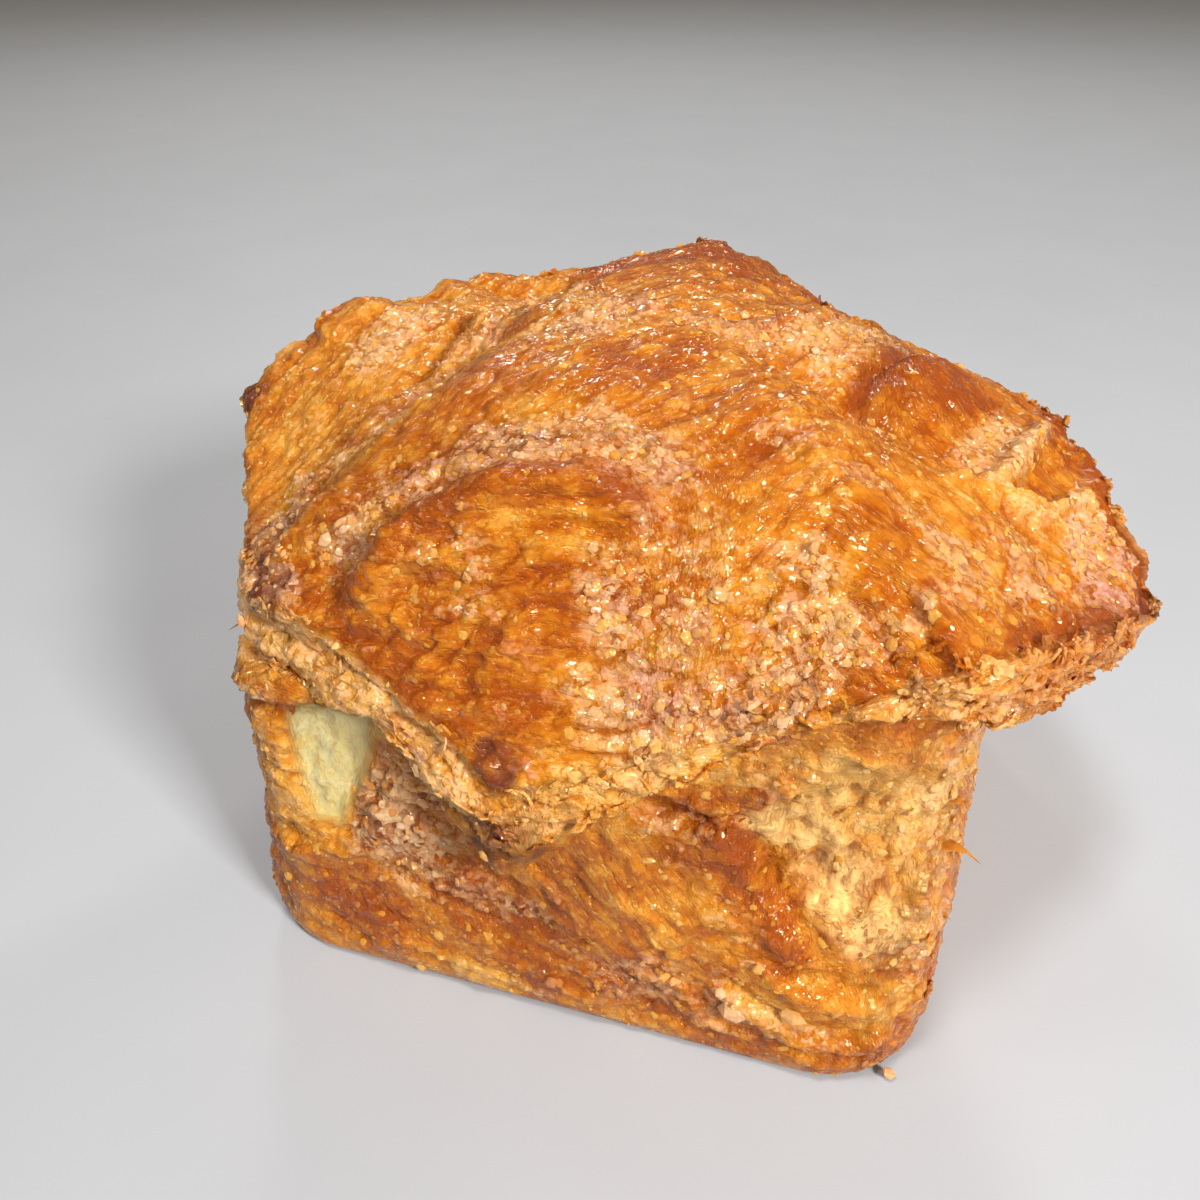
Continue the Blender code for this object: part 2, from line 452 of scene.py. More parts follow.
def pulled(length, width, seed, octaves=3):
    """Soft unevenness, length by width in size, along the pull of each part."""
    total = np.zeros(len(home))
    weight = np.zeros(len(home))
    for number, (share, along) in enumerate(PULLS):
        here = np.flatnonzero(share > HARDLY)
        places = drawn_out(home[here], along, width / length)
        total[here] += share[here] * cloud(places, width, seed + 7 * number, octaves)
        weight[here] += share[here]
    return total / np.maximum(weight, HARDLY)


creases = pulled(9, 2.2, 35)
print("creases run from", round(creases.min(), 1), "to", round(creases.max(), 1))

# %% [markdown]
# ## Dough that rose
#
# Before any fold or sheet, the whole body gets the swelling of something that rose
# unevenly in the oven, with wrinkles of a few millimetres on it. Its outermost sheets
# have flaked: in section they are the teeth of a saw, each a slow rise and a quick
# fall. The foot stays as flat as the tray it was baked on.

# %% Swell, wrinkle and flake
def layers(distance, thickness):
    """The profile of stacked sheets: a slow rise and a quick fall, 0 to 1."""
    share = (distance / thickness) % 1
    return share - ease((share - 0.72) / 0.28)


lift = crown * (0.5 * cloud(home, 19, 1, 2) + 0.3 * cloud(home, 8, 2, 2))
lift += block * (0.6 * cloud(home, 17, 3, 2) + 0.4 * cloud(home, 6, 4, 3))
lift += 0.45 * pulled(18, 4.2, 5) * (1 - 0.7 * bare_dough)
lift -= 0.45 * np.maximum(0, 0.35 - np.abs(creases))
flaky = layers(2.2 * pulled(13, 5.0, 65, 2) + 0.5 * creases, 1.0)
lift += (0.22 + 0.1 * block - 0.2 * plain_front) * flaky
print("swelling: from", round(lift.min(), 1), "to", round(lift.max(), 1), "mm")

# %% [markdown]
# ## The folds of the crown
#
# Four corners of the dough were drawn in to the middle, so the crown is a pile of
# flaps. Each fold is first drawn as a route seen from above. Together with the
# distance from it, a route gives a fold any profile: a bulge on one side, a step or a
# valley on the other.

# %% Draw the folds
left_fold = route_on(UP, [(-36, -27), (-31, -18), (-28, -8), (-25, 4), (-24, 15),
                          (-21, 28), (-16, 37)])
shoulder = route_on(UP, [(-22, -34), (-18, -32), (-15, -30), (-11, -28.6), (-6, -27.3),
                         (-1, -26.8), (3, -26.6), (7, -28), (11, -30.5)])
lobe_edge = route_on(UP, [(19, -5), (20, -1), (21, 4), (23, 10), (25.5, 17), (27, 23)])
back_fold = route_on(UP, [(-22, 27), (-13, 15), (-4, 5.5), (5, 3.5), (12, 11), (18, 20)])
crevice = route_on(UP, [(24, -26), (28, -30), (30, -32.5), (33, -35.5)])
ridges = [route_on(UP, [(31, -8), (34, -4), (36, 3), (38, 11), (40, 17)]),
          route_on(UP, [(31, -8), (35, -6), (39, -2), (43, 3), (46, 6)]),
          route_on(UP, [(28, -12), (33, -9), (39, -4.5), (46, -3)])]
wavy = 0.9 * cloud(home, 6, 11, 3)
print("folds drawn:", 5 + len(ridges), "routes, wavy by", round(np.abs(wavy).max(), 1), "mm")

# %% [markdown]
# ## The main sheet
#
# The main sheet lies over the left flap and ends in a thin, wavy edge. The edge bulges
# a little, then drops steeply, and a few more sheets show beside it as low steps.

# %% Lay the main sheet over the left flap
edge_gap, edge_share = beside(left_fold, home)
edge_gap += wavy
edge_open = crown * ends(edge_share, 0.08, 0.1)
lift += edge_open * (1.5 * hump(edge_gap + 1.8, 2.2) - 1.9 * hump(edge_gap - 0.9, 1.1))
beside_edge = edge_open * ease((edge_gap + 8) / 4) * (edge_gap < 0)
lift += 0.35 * beside_edge * layers(edge_gap + 0.5 * wavy, 2.3)
print("main sheet:", int((edge_open * hump(edge_gap, 1) > 0.5).sum()), "points on its edge")

# %% [markdown]
# ## The shoulder
#
# The front flap rolls up to a shoulder with a valley behind it. Down the front of the
# roll its sheets show as curved steps that follow the shoulder, so their layers are
# counted in distance from the same route.

# %% Roll the front flap
roll_gap, roll_share = beside(shoulder, home)
roll_gap += 0.9 * wavy
roll_open = crown * ends(roll_share, 0.1, 0.2)
lift += roll_open * (1.4 * hump(roll_gap + 1.6, 2.2) - 1.5 * hump(roll_gap - 1.9, 1.9))
rolls = ease(-roll_gap / 2) * ease((20 + roll_gap) / 10) * roll_open
roll_layers = layers(roll_gap + 1.6 * creases + 1.2 * wavy, 3.1)
lift += 0.75 * rolls * roll_layers
print("front flap: rolled over", int((rolls > 0.5).sum()), "points")

# %% [markdown]
# ## Lobe, back fold and crevice
#
# The right flap starts with a smooth, dark lobe whose edge is a small step. On top of
# the dome one low fold runs in a bow from the back left to the back right. Over the
# block's front right corner a crevice opens in the crown.

# %% Add the lobe, the back fold and the crevice
lobe_gap, lobe_share = beside(lobe_edge, home)
lobe_open = crown * ends(lobe_share)
lobe = crown * area(UP, (26, 6.5), (5, 9), -25, 1.0)
lift += 0.5 * lobe - lobe_open * 1.2 * hump(lobe_gap - 0.3 + 0.4 * wavy, 1.0)

back_gap, back_share = beside(back_fold, home)
back_gap += wavy
back_open = crown * ends(back_share)
lift += back_open * (0.5 * hump(back_gap + 1, 1.4) - 0.6 * hump(back_gap - 0.6, 0.8))

gap, share = beside(crevice, home)
lift -= 0.9 * crown * ends(share, 0.5, 0.1) * hump(gap + 0.6 * wavy, 0.9)
print("lobe:", int((lobe > 0.5).sum()), "points")

# %% [markdown]
# ## Pinched ridges and tips
#
# Beside the lobe the right flap is pinched into sharp ridges that run out to its tip,
# with a dent between two of them, and the tip itself is pressed thin. At the back left
# the rim rises and sinks, as a sheet does that lifted in some places only.

# %% Pinch the right flap and bend the rim
pinched = np.zeros(len(home))
for ridge in ridges:
    gap, share = beside(ridge, home)
    pinched = np.maximum(pinched, crown * ends(share, 0.15, 0.3) * hump(gap + 0.4 * wavy, 0.9))
lift += 1.5 * pinched - 0.8 * crown * area(UP, (40.5, 5), (2.5, 6), -20)
lift -= 1.3 * crown * ease((home[:, 0] - 46.5) / 5)
lift += crown * (1.1 * areas((UP, (-42, 11), (3, 4)), (UP, (-30, 31), (5, 4)))
                 - 2.2 * area(UP, (-37, 20), (4, 4.5), 0, 0.9))
print("ridges:", int((pinched > 0.5).sum()), "points on their crests")

# %% [markdown]
# ## The cut edge
#
# Where the crown's sheets end, the edge shows them stacked: crumbling layers of about
# a millimetre, wavy because the dough lifted unevenly. The layers follow the rim, so
# their unevenness is drawn out along the way round, and they stick out by different
# amounts. Left of the front tip the sheets are glassy with caramel, elsewhere they
# are dry.

# %% Stack the layers of the cut edge
turn_round = np.arctan2(home[:, 1], home[:, 0])
round_rim = np.stack([turn_round * 8, reach / 8, height], axis=1)
depth_in_edge = rim_height - height + 0.9 * cloud(round_rim, 2.6, 51, 3)
sheets = layers(depth_in_edge, 1.15 + 0.25 * cloud(home, 12, 52, 1))
strands = layers(2.6 * cloud(round_rim, 2.2, 56, 3), 1.0)
ledges = cloud(round_rim, 1.4, 53, 3)
near_rim = crown * hump(inward, 3.0)
lift += cut * (0.6 * sheets + 0.4 * ledges + 0.35 * strands)
lift += under * (0.5 * ledges + 0.3 * strands)
torn_rim = near_rim * (0.35 + 0.65 * ease(home[:, 0] / 10))
lift += torn_rim * (0.5 * cloud(home, 3.4, 54, 3) + 0.4 * ledges)
glassy_edge = cut * ease((-2 - home[:, 0]) / 4) * ease(-facing[:, 1] * 2)
lift -= 1.1 * glassy_edge * hump(depth_in_edge - 1.8, 1.5)
print("cut edge:", round(100 * glassy_edge.sum() / cut.sum()), "% of it is glassy")

# %% [markdown]
# ## The block's faces
#
# The block's front shows how it was folded, and it gets routes of its own, drawn as
# seen from the front. The other faces met the tin and stay plainer: they have only
# the swelling, the wrinkles, the flakes and the grain.

# %% Draw the folds of the block's front
ledge = route_on(FRONT, [(-36, 32.5), (-31, 33), (-25, 33.8), (-19, 35.5), (-14, 36)])
tongue_ridge = route_on(FRONT, [(15, 31.5), (17.8, 27.5), (21.2, 21.8), (25.7, 15.2),
                                (28, 10.5)])
curls = [route_on(FRONT, [(16, 13), (18, 10), (22, 8), (28, 5.5), (33, 6)]),
         route_on(FRONT, [(20, 16), (23, 13.5), (27, 12), (32, 10)])]
seam_left = route_on(FRONT, [(-32, 15), (-27, 15.5), (-21, 18), (-17.5, 23), (-15, 30)])
corner = route_on(FRONT, [(34.2, 6), (34.0, 18), (33.6, 30), (33.2, 41)])
print("front: folds drawn as", 4 + len(curls), "routes")

# %% [markdown]
# ## Ledge, bare dough and seam
#
# At the left a thin sheet hangs over the bare dough as a ledge. The bare dough lies a
# little deeper than the crust round it, and a raised seam runs below and beside it.

# %% Shape the left of the front
ledge_gap, ledge_share = beside(ledge, home)
ledge_gap += 0.5 * wavy
ledge_open = ends(ledge_share, 0.05, 0.2)
lift += ledge_open * (1.1 * hump(ledge_gap - 0.9, 1.1) - 1.0 * hump(ledge_gap + 1.1, 1.2))
lift -= 0.7 * bare_dough
gap, share = beside(seam_left, home)
lift += ends(share) * (0.9 * hump(gap + 1.0 + 0.5 * wavy, 1.4) - 0.5 * hump(gap - 0.8, 0.9))
print("bare dough: sunk by up to", round(-lift[bare_dough > 0.5].min(), 1), "mm")

# %% [markdown]
# ## Tongue and pocket
#
# The tongue swells in the middle, with a dark gap above it where it leaves the crown.
# Down its right side runs a ridge, then the dough drops into the torn pocket. The
# crumb there is drawn out into upright fibres with gaps between them.

# %% Shape the middle and the pocket
dark_gap = area(FRONT, (11, 30.8), (4.5, 2.2), -20)
lift += 0.8 * tongue - 1.2 * dark_gap
ridge_gap, ridge_share = beside(tongue_ridge, home)
ridge_gap += 0.4 * wavy
ridge_open = block * ends(ridge_share, 0.15, 0.5)
lift += ridge_open * (0.8 * hump(ridge_gap + 0.9, 1.3) - 0.8 * hump(ridge_gap - 1.0, 1.2))

fibres = 1 - np.abs(pulled(7, 1.5, 165)) / 0.35
lift -= pocket * (1 - hollow) * (0.9 - 0.6 * np.clip(fibres, 0, 1))
lift -= 0.3 * hollow
print("pocket:", round(100 * (fibres[pocket > 0.5] > 0).mean()), "% of it is fibres")

# %% [markdown]
# ## Curled sheets and corner
#
# Two sheets curl round the bottom of the right corner, each a rounded lip with a
# groove beside it. Up the corner itself stands a narrow raised edge, where sheets from
# both sides were pressed together.

# %% Curl the sheets at the right corner
for curl in curls:
    gap, share = beside(curl, home)
    gap += 0.4 * wavy
    open_here = block * ends(share, 0.3, 0.1)
    lift += open_here * (0.8 * hump(gap, 0.9) - 0.5 * hump(gap - 1.6, 1.0))
gap, share = beside(corner, home)
lift += 0.7 * block * ends(share, 0.2, 0.1) * hump(gap + 0.5 * wavy, 1.0)
print("lift: from", round(lift.min(), 1), "to", round(lift.max(), 1), "mm")

# %% [markdown]
# ## Moving the skin
#
# All the relief so far is one number for each point, so the skin moves in one go,
# outwards by that number. Near the tray the move fades out, and no point sinks below
# the foot.

# %% Move the skin
foot = home[:, 2].min()
off_the_tray = ease((height - 0.3) / 3.0)


def moved(points, outward, distance):
    """Points moved outwards, none of them below the tray."""
    points = points + outward * (distance * off_the_tray)[:, None]
    points[:, 2] = np.maximum(points[:, 2], foot)
    write_points(skin, points)
    return points, read_facing(skin)


shaped, facing = moved(home, facing, lift)
print("sculpted: now", round(shaped[:, 2].max(), 1), "mm high")

# %% [markdown]
# ## Where sugar and caramel lie
#
# Sugar that melted early ran together into smooth amber pools. Sugar that melted late
# lies as pale frost in the valleys, behind the shoulder and on the block. Each is kept
# as a number from 0 to 1 at every point, for the relief now and for the colour later.

# %% Map the pools and the frost
patchy = cloud(shaped, 5.5, 81, 3)
speckled = cloud(shaped, 1.8, 84, 2)
threads = pulled(5, 1.1, 185)
pale_band = area(FRONT, (17, 37.5), (14, 4), 5)
tip_face = crown * area(FRONT, (3, 31), (5, 4))
corner_band = area(FRONT, (33.5, 27), (2.5, 14))
right_rim = near_rim * ease((home[:, 0] - 36) / 6)
red_edge = crown * hump(inward, 1.3) * ease((home[:, 0] - 34) / 6)

pools = np.maximum(areas(
    (UP, (8, -16), (6, 3.5), 20), (UP, (15, -23), (5, 3), -20),
    (UP, (26, -26), (5, 4), -30), (UP, (-14, -13), (5, 9), -20),
    (UP, (0, -10), (7, 5), 25), (UP, (40.5, 5), (2.3, 6), -15),
    (UP, (-1, -35), (4, 3), 0), (UP, (-4, 26), (14, 8), 0)), 0.8 * tongue)
frost = np.maximum.reduce([
    0.85 * roll_open * hump(roll_gap - 3.8, 4.0),
    0.50 * edge_open * hump(edge_gap + 4.0, 4.0),
    0.60 * back_open * hump(back_gap + 2.5, 3),
    0.70 * areas((UP, (2, -21), (9, 4), 10), (UP, (33, 1), (4, 9), -15),
                 (UP, (-33, 6), (4, 8), 0), (UP, (12, -36), (16, 4.5), -8),
                 (UP, (-8, 0), (5, 12), -30), (UP, (22, -31), (8, 5), 10)),
    0.45 * areas((UP, (16, -27), (20, 9), 10), (UP, (38, -14), (10, 10), 20)),
    0.95 * area(UP, (44, -4), (5, 8)), 0.85 * area(UP, (19, 9), (8, 7), 60),
    # the glassy sheets are pale, and frosted more as painted light against the shade they lie in
    0.60 * cut * ease((home[:, 0] - 20) / 8), 0.80 * glassy_edge,
    0.90 * areas((FRONT, (-32, 39), (7, 7), 0), (FRONT, (-15, 21), (7, 7), -40)),
    0.45 * block * areas((FRONT, (9, 11), (12, 7), -10), (FRONT, (-6, 15), (9, 4), -20)),
    0.40 * pocket * (1 - open_crumb) * (1 - hollow), 0.30 * pocket_roof,
    0.60 * corner_band, 0.35 * pale_band, 0.40 * tip_face, 0.08 * block,
])
frost += 0.30 * patchy + 0.20 * threads + 0.5 * pinched + 0.10 * right_rim
frost -= 0.6 * pools + 0.9 * lobe + 0.4 * red_edge + 1.5 * bare_dough + 0.8 * hollow
frost -= 0.9 * ridge_open * hump(ridge_gap, 2.2)
frost = np.clip(frost, 0, 1)
print("frost on", round(100 * (frost > 0.5).mean()), "% of the points")

# %% [markdown]
# ## Burnt spots and blush
#
# The thin tips took the most heat and are burnt nearly black, in mottled spots. The
# frost isn't one colour either: here and there the syrup in it gives a rosy blush, and
# elsewhere it is the colour of cream.

# %% Map the burnt spots and the blush
burnt = np.maximum(areas(
    (UP, (-50, -1), (2.5, 5)), (UP, (51, -4), (2.2, 3)), (UP, (-4, 42), (5, 2)),
    (FRONT, (-3.0, 36.5), (1.7, 2.3), 30), (FRONT, (-2.5, 28), (3.5, 2.0)),
    (FRONT, (-29.5, 43), (2.0, 2.5))), 0.1 * ridge_open * hump(ridge_gap + 0.4, 1.0))
burnt = np.clip(burnt * (0.75 + 0.4 * patchy + 0.8 * speckled), 0, 1)
rosy = 0.22 + 0.45 * cloud(shaped, 7, 88, 2) - 0.25 * block + 0.4 * areas(
    (UP, (43, -6), (8, 8), 0), (UP, (12, -34), (9, 4), 0), (UP, (0, -38), (5, 3), 0),
    (UP, (-14, -24), (6, 4), 0))
print("burnt on", round(100 * (burnt > 0.4).mean(), 1), "% of the points")

# %% [markdown]
# ## How dark the caramel is, and where light and shade are painted
#
# Caramel darkens with the time it spends in the heat: crests, edges and the ridge are
# the darkest, sheets that were covered until late are the palest. A few entries paint
# light and shade into it: shade on the block's front, on the back of the dome, in the
# gap under the crown and in two grooves of the crown's folds, and light on the glassy
# sheets left of the front tip. One list holds every reason for a darker or a paler
# place, so a shade can be tuned by a single number.

# %% Darken and lighten the caramel, and paint in light and shade
toasted = area(FRONT, (0, 30.5), (9, 4.5), 15)
SHADES = [
    # how much darker, and where
    (0.10, patchy), (0.08, speckled), (0.08, cloud(shaped, 16, 86, 2)),
    (0.18, ease(1 - np.abs(creases) / 0.22)), (-0.10, flaky * crown),
    (0.10, front_flap), (-0.08, left_part), (0.06, right_flap), (0.10, pools),
    # crests and steps of the crown's folds; painted shade in two grooves, and on the dome's back
    (0.36, roll_open * hump(roll_gap + 0.9, 1.6)), (-0.30, rolls * roll_layers),
    # the lobe is dark caramel; the darkening along its edge is painted shade in the groove
    (0.40, lobe), (0.34, lobe_open * hump(lobe_gap - 0.3, 1.2)),
    # painted shade in the crease where the main sheet's edge drops
    (0.30, edge_open * hump(edge_gap - 0.6, 0.6)),
    (0.18, back_open * hump(back_gap + 0.5, 1.4)), (-0.30, pinched),
    # first on the next line: painted shade on the back of the dome, away from the main window
    (0.26, area(UP, (-4, 34), (16, 9))), (0.10, area(UP, (-6, -35), (8, 5))),
    (-0.14, areas((UP, (10, -38), (15, 4), -8), (UP, (-38, -14), (6, 10), 0))),
    # the rim, darkest at the right tip, and the pale stack of sheets below it
    (0.15, near_rim * top), (0.14, right_rim), (0.35, red_edge), (0.02, toasted * crown),
    # the glassy sheets are pale, and made paler still as painted light against the shade they
    # lie in
    (-0.22, cut * (1 - glassy_edge)), (-0.54, glassy_edge), (-0.15, tip_face),
    # the block: painted shade on its front; its foot and the folds near the corners paler
    (block * (0.09 + 0.14 * patchy), ease((facing @ FRONT) * 2) * (1 - pocket)),
    # last on the next line: painted shade in the gap under the crown
    (-0.14, plain_front * ease((7 - height) / 4)), (-0.22, tongue), (0.10, dark_gap),
    (0.38, ridge_open * hump(ridge_gap + 0.5, 1.9)), (0.10, area(FRONT, (-24, 9), (7, 6))),
    (-0.40, areas((FRONT, (-29.5, 22), (3.5, 8), 10), (FRONT, (-7, 3.5), (6, 3), -10))),
    (-0.26, area(FRONT, (27, 11), (8, 4))), (-0.20, corner_band), (-0.28, pale_band),
    # the torn pocket and the bare dough
    (-0.06, pocket), (-0.25, pocket * (fibres > 0.5)), (-0.40, pocket_roof),
    (-0.30, hollow), (0.14, open_crumb), (-0.50, dough_border),
]
caramel = np.clip(0.39 + sum(darker * where for darker, where in SHADES), 0, 1)
print("caramel: from", round(np.quantile(caramel, 0.05), 2), "pale to",
      round(np.quantile(caramel, 0.95), 2), "dark")

# %% [markdown]
# ## Grain
#
# Half-melted sugar leaves the crust cobbled: lumps of one to two millimetres, high and
# sharp in the frost, half drowned in the pools. The bare dough stays smooth and only
# shows faint strands.

# %% Cobble the crust with half-melted sugar
coarse, coarse_number = grains(shaped, 1.9, 91)
small, small_number = grains(shaped, 1.05, 95)
cobbles = (0.12 + 0.26 * frost + 0.16 * plain_front) * coarse * (0.4 + 0.9 * coarse_number)
cobbles += (0.10 + 0.20 * frost) * small * (0.4 + 0.9 * small_number)
relief = (1 - bare_dough) * ((1 - 0.6 * cut) * (1 - 0.5 * pools) * cobbles
                             + 0.28 * threads + 0.10 * speckled)
relief += 0.4 * bare_dough * threads + 0.4 * burnt * (cloud(shaped, 1.1, 98, 2) - 0.5)
shaped, facing = moved(shaped, facing, relief)
print("cobbles: up to", round(cobbles.max(), 2), "mm high")

# %% [markdown]
# ## Crown and block
#
# The skin is about to become two pieces, and everything known about a point has to
# go along with it, so that the finishes can read it: how dark the caramel is, with the
# painted light and shade in it, where frost lies, which grain it belongs to. One more
# thing is kept, the point's place squeezed along the pull of its part, from which the
# finish reads drawn-out noise.

# %% Gather what the finishes need to know
covering = {"caramel": caramel, "frost": frost, "burnt": burnt, "dough": bare_dough,
            "crumb": np.maximum.reduce([open_crumb, hollow, 0.25 * pocket_roof]),
            "cut": cut * (1 - 0.6 * glassy_edge) * (1 - 0.3 * toasted),
            "rosy": rosy.clip(0, 1),
            "sheets": np.where(cut > 0.3, 0.6 * sheets + 0.4 * strands, flaky),
            "threads": 0.5 + 0.4 * threads, "grain": coarse_number, "gaps": 1 - coarse}

along_pull = np.zeros((len(shaped), 3))
for share, along in PULLS:
    along_pull += share[:, None] * drawn_out(shaped, along, 0.42)
along_pull /= np.maximum(sum(share for share, _ in PULLS), HARDLY)[:, None]
along_pull += (0.7 * plain_front + 0.5 * upright)[:, None] * (shaped - along_pull)
print("kept at each point:", ", ".join(covering))

# %% [markdown]
# The crown is its own flap of dough lying on the block, and the crease where they
# meet runs all round under the overhang. The skin is parted there. Each half is
# closed inside, where nobody looks, and the flat foot, which needs no fine quads,
# becomes a single fan.

# %% Part the skin along the crease
def keep(mesh, label, values):
    """Keeps a number, or a place, at each point of a mesh."""
    kind, field = ("FLOAT", "value") if values.ndim == 1 else ("FLOAT_VECTOR", "vector")
    kept = mesh.attributes.new(label, kind, "POINT")
    kept.data.foreach_set(field, values.ravel())


def piece_of(mesh):
    """An object in the scene, named as its mesh."""
    piece = bpy.data.objects.new(mesh.name, mesh)
    bpy.context.scene.collection.objects.link(piece)
    return piece


def cut_loop(quads):
    """The edges round the open side of a set of quads, each with its direction."""
    directed = np.stack([quads, np.roll(quads, -1, axis=1)], axis=2).reshape(-1, 2)
    size = quads.max() + 1
    keys = directed[:, 0].astype(np.int64) * size + directed[:, 1]
    back = directed[:, 1].astype(np.int64) * size + directed[:, 0]
    return directed[~np.isin(keys, back)]


def sharpen(mesh, pairs):
    """Marks the edges between these pairs of points as sharp."""
    ends_of = np.empty(2 * len(mesh.edges), np.int32)
    mesh.edges.foreach_get("vertices", ends_of)
    size = len(mesh.vertices)
    keys = np.sort(ends_of.reshape(-1, 2), axis=1) @ [size, 1]
    wanted = np.sort(pairs, axis=1) @ [size, 1]
    sharp = mesh.attributes.new("sharp_edge", "BOOLEAN", "EDGE")
    sharp.data.foreach_set("value", np.isin(keys, wanted))


def closed_piece(name, quads, tips):
    """An object of these quads, each open side closed by a fan to its own tip."""
    loop = cut_loop(quads)
    middle_height = shaped[loop].mean(axis=1)[:, 2]
    used, renumbered = np.unique(quads, return_inverse=True)
    number = np.zeros(len(shaped), int)
    number[used] = np.arange(len(used))
    heights = np.array([tip[2] for tip in tips])
    which = np.abs(middle_height[:, None] - heights).argmin(axis=1)
    fans = np.column_stack([number[loop[:, 1]], number[loop[:, 0]], len(used) + which])
    mesh = bpy.data.meshes.new(name)
    mesh.from_pydata(np.vstack([shaped[used], tips]) * MM, [],
                     renumbered.reshape(-1, 4).tolist() + fans.tolist())
    mesh.polygons.foreach_set("use_smooth", np.arange(len(mesh.polygons)) < len(quads))
    sharpen(mesh, number[loop])
    for label, values in covering.items():
        keep(mesh, label, np.append(values[used], [0.0] * len(tips)))
    keep(mesh, "along_pull", np.vstack([along_pull[used], tips]))
    print(f"{name}: {2 * len(quads) + len(fans)} triangles")
    return piece_of(mesh)


CROWN_HEART = (0, 0, 42)     # where the crown's underside is closed, inside
BLOCK_HEART = (0, 0, 40)
TRAY_HALF = 31               # half the width of the flat foot
skin_quads = np.empty(4 * len(skin.polygons), np.int32)
skin.loops.foreach_get("vertex_index", skin_quads)
skin_quads = skin_quads.reshape(-1, 4)
on_crown = (height - wall_top)[skin_quads].mean(axis=1) > 0
on_tray = np.abs(home[:, :2]).max(axis=1)[skin_quads].max(axis=1) < TRAY_HALF
on_tray &= height[skin_quads].max(axis=1) < foot + 0.01
crown_piece = closed_piece("crown", skin_quads[on_crown], [CROWN_HEART])
block_piece = closed_piece("block", skin_quads[~on_crown & ~on_tray],
                           [BLOCK_HEART, (0, 0, foot)])

# %% [markdown]
# ## Finishes
#
# A finish is arithmetic on textures, and it reads best as arithmetic. `Wire` stands
# for a socket of a node and turns `+`, `-` and `*` into Math nodes. `Finish` is a
# material being made, with one method that adds any other node.

# %% A small language for materials
class Wire:
    """An output of a node, on which plain arithmetic works."""

    def __init__(self, finish, socket):
        self.finish = finish
        self.socket = socket

    def work(self, operation, *values):
        return self.finish.node("Math", {"operation": operation}, dict(enumerate(values)))

    def __add__(self, other):
        return self.work("ADD", self, other)

    def __sub__(self, other):
        return self.work("SUBTRACT", self, other)

    def __rsub__(self, other):
        return self.work("SUBTRACT", other, self)

    def __mul__(self, other):
        return self.work("MULTIPLY", self, other)

    def __abs__(self):
        return self.work("ABSOLUTE", self)

    __radd__ = __add__
    __rmul__ = __mul__

    def clipped(self):
        """This value, kept between 0 and 1."""
        return self.finish.node("Clamp", {}, {"Value": self})


class Finish:
    """A material while it is being made: a Principled shader and what feeds it."""

    def __init__(self, name, **constants):
        self.material = bpy.data.materials.new(name)
        self.material.use_nodes = True
        self.tree = self.material.node_tree
        self.shader = self.tree.nodes["Principled BSDF"]
        for socket, value in constants.items():
            self.shader.inputs[socket.replace("_", " ")].default_value = value
        millimetres = {0: self.node("TexCoord", output="Object"), 1: (1 / MM,) * 3}
        self.place = self.node("VectorMath", {"operation": "MULTIPLY"}, millimetres)

    def node(self, kind, settings=None, sockets=None, output=0):
        """Adds a node: its settings first, then values or wires for its sockets."""
        made = self.tree.nodes.new("ShaderNode" + kind)
        for name, value in (settings or {}).items():
            setattr(made, name, value)
        for name, value in (sockets or {}).items():
            self.feed(made.inputs[name], value)
        return Wire(self, made.outputs[output])

    def feed(self, socket, value):
        """Links a wire to a socket, or sets the socket to a plain value."""
        if isinstance(value, Wire):
            self.tree.links.new(value.socket, socket)
        else:
            socket.default_value = value

    def known(self, name):
        """A number kept at each point of the mesh."""
        return self.node("Attribute", {"attribute_name": name}, output="Fac")

    def noise(self, size, detail=3.0, harsh=0.5, place=None):
        """Noise from 0 to 1 with lumps of about size millimetres, soft or harsh."""
        sockets = {"Vector": place or self.place, "Scale": 1 / size, "Detail": detail,
                   "Roughness": harsh}
        return self.node("TexNoise", {}, sockets, "Fac")

    def cells(self, size):
        """Packed cells: the distance from a cell's middle, and its own colour."""
        sockets = {"Vector": self.place, "Scale": 1 / size}
        distance = self.node("TexVoronoi", {}, sockets)
        return distance, Wire(self, distance.socket.node.outputs["Color"])

    def ramp(self, share, colours):
        """A colour from a row of evenly spaced ones."""
        made = self.node("ValToRGB", {}, {"Fac": share})
        stops = made.socket.node.color_ramp.elements
        while len(stops) < len(colours):
            stops.new(0.5)
        for step, (stop, colour) in enumerate(zip(stops, colours)):
            stop.position = step / (len(colours) - 1)
            stop.color = (*colour, 1)
        return made

    def mix(self, share, first, second):
        """The first colour where share is 0, the second where it is 1."""
        first, second = [c if isinstance(c, Wire) else (*c, 1) for c in (first, second)]
        return self.node("Mix", {"data_type": "RGBA"}, {0: share, 6: first, 7: second}, 2)

    def bump(self, height, size):
        """A normal that follows a height from 0 to 1, whose 1 stands size millimetres."""
        return self.node("Bump", {}, {"Height": height, "Distance": size * MM})

    def tilted(self, normal, facet, amount):
        """A normal that leans a different way in each cell, like the facets of crystals."""
        lean = self.node("VectorMath", {"operation": "SUBTRACT"}, {0: facet, 1: (0.5,) * 3})
        lean = self.node("VectorMath", {"operation": "SCALE"}, {0: lean, "Scale": amount})
        leaning = self.node("VectorMath", {"operation": "ADD"}, {0: normal, 1: lean})
        return self.node("VectorMath", {"operation": "NORMALIZE"}, {0: leaning})

    def surface(self, **sockets):
        """Feeds the shader's sockets, and returns the finished material."""
        for name, value in sockets.items():
            self.feed(self.shader.inputs[name.replace("_", " ")], value)
        return self.material


def dress(piece, material):
    """Gives a piece its material and its place in the pastry."""
    piece.data.materials.append(material)
    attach(piece, "root")
    print(piece.name, "wears", material.name)


print("ready: Wire and Finish, for", len(covering), "numbers kept at each point")
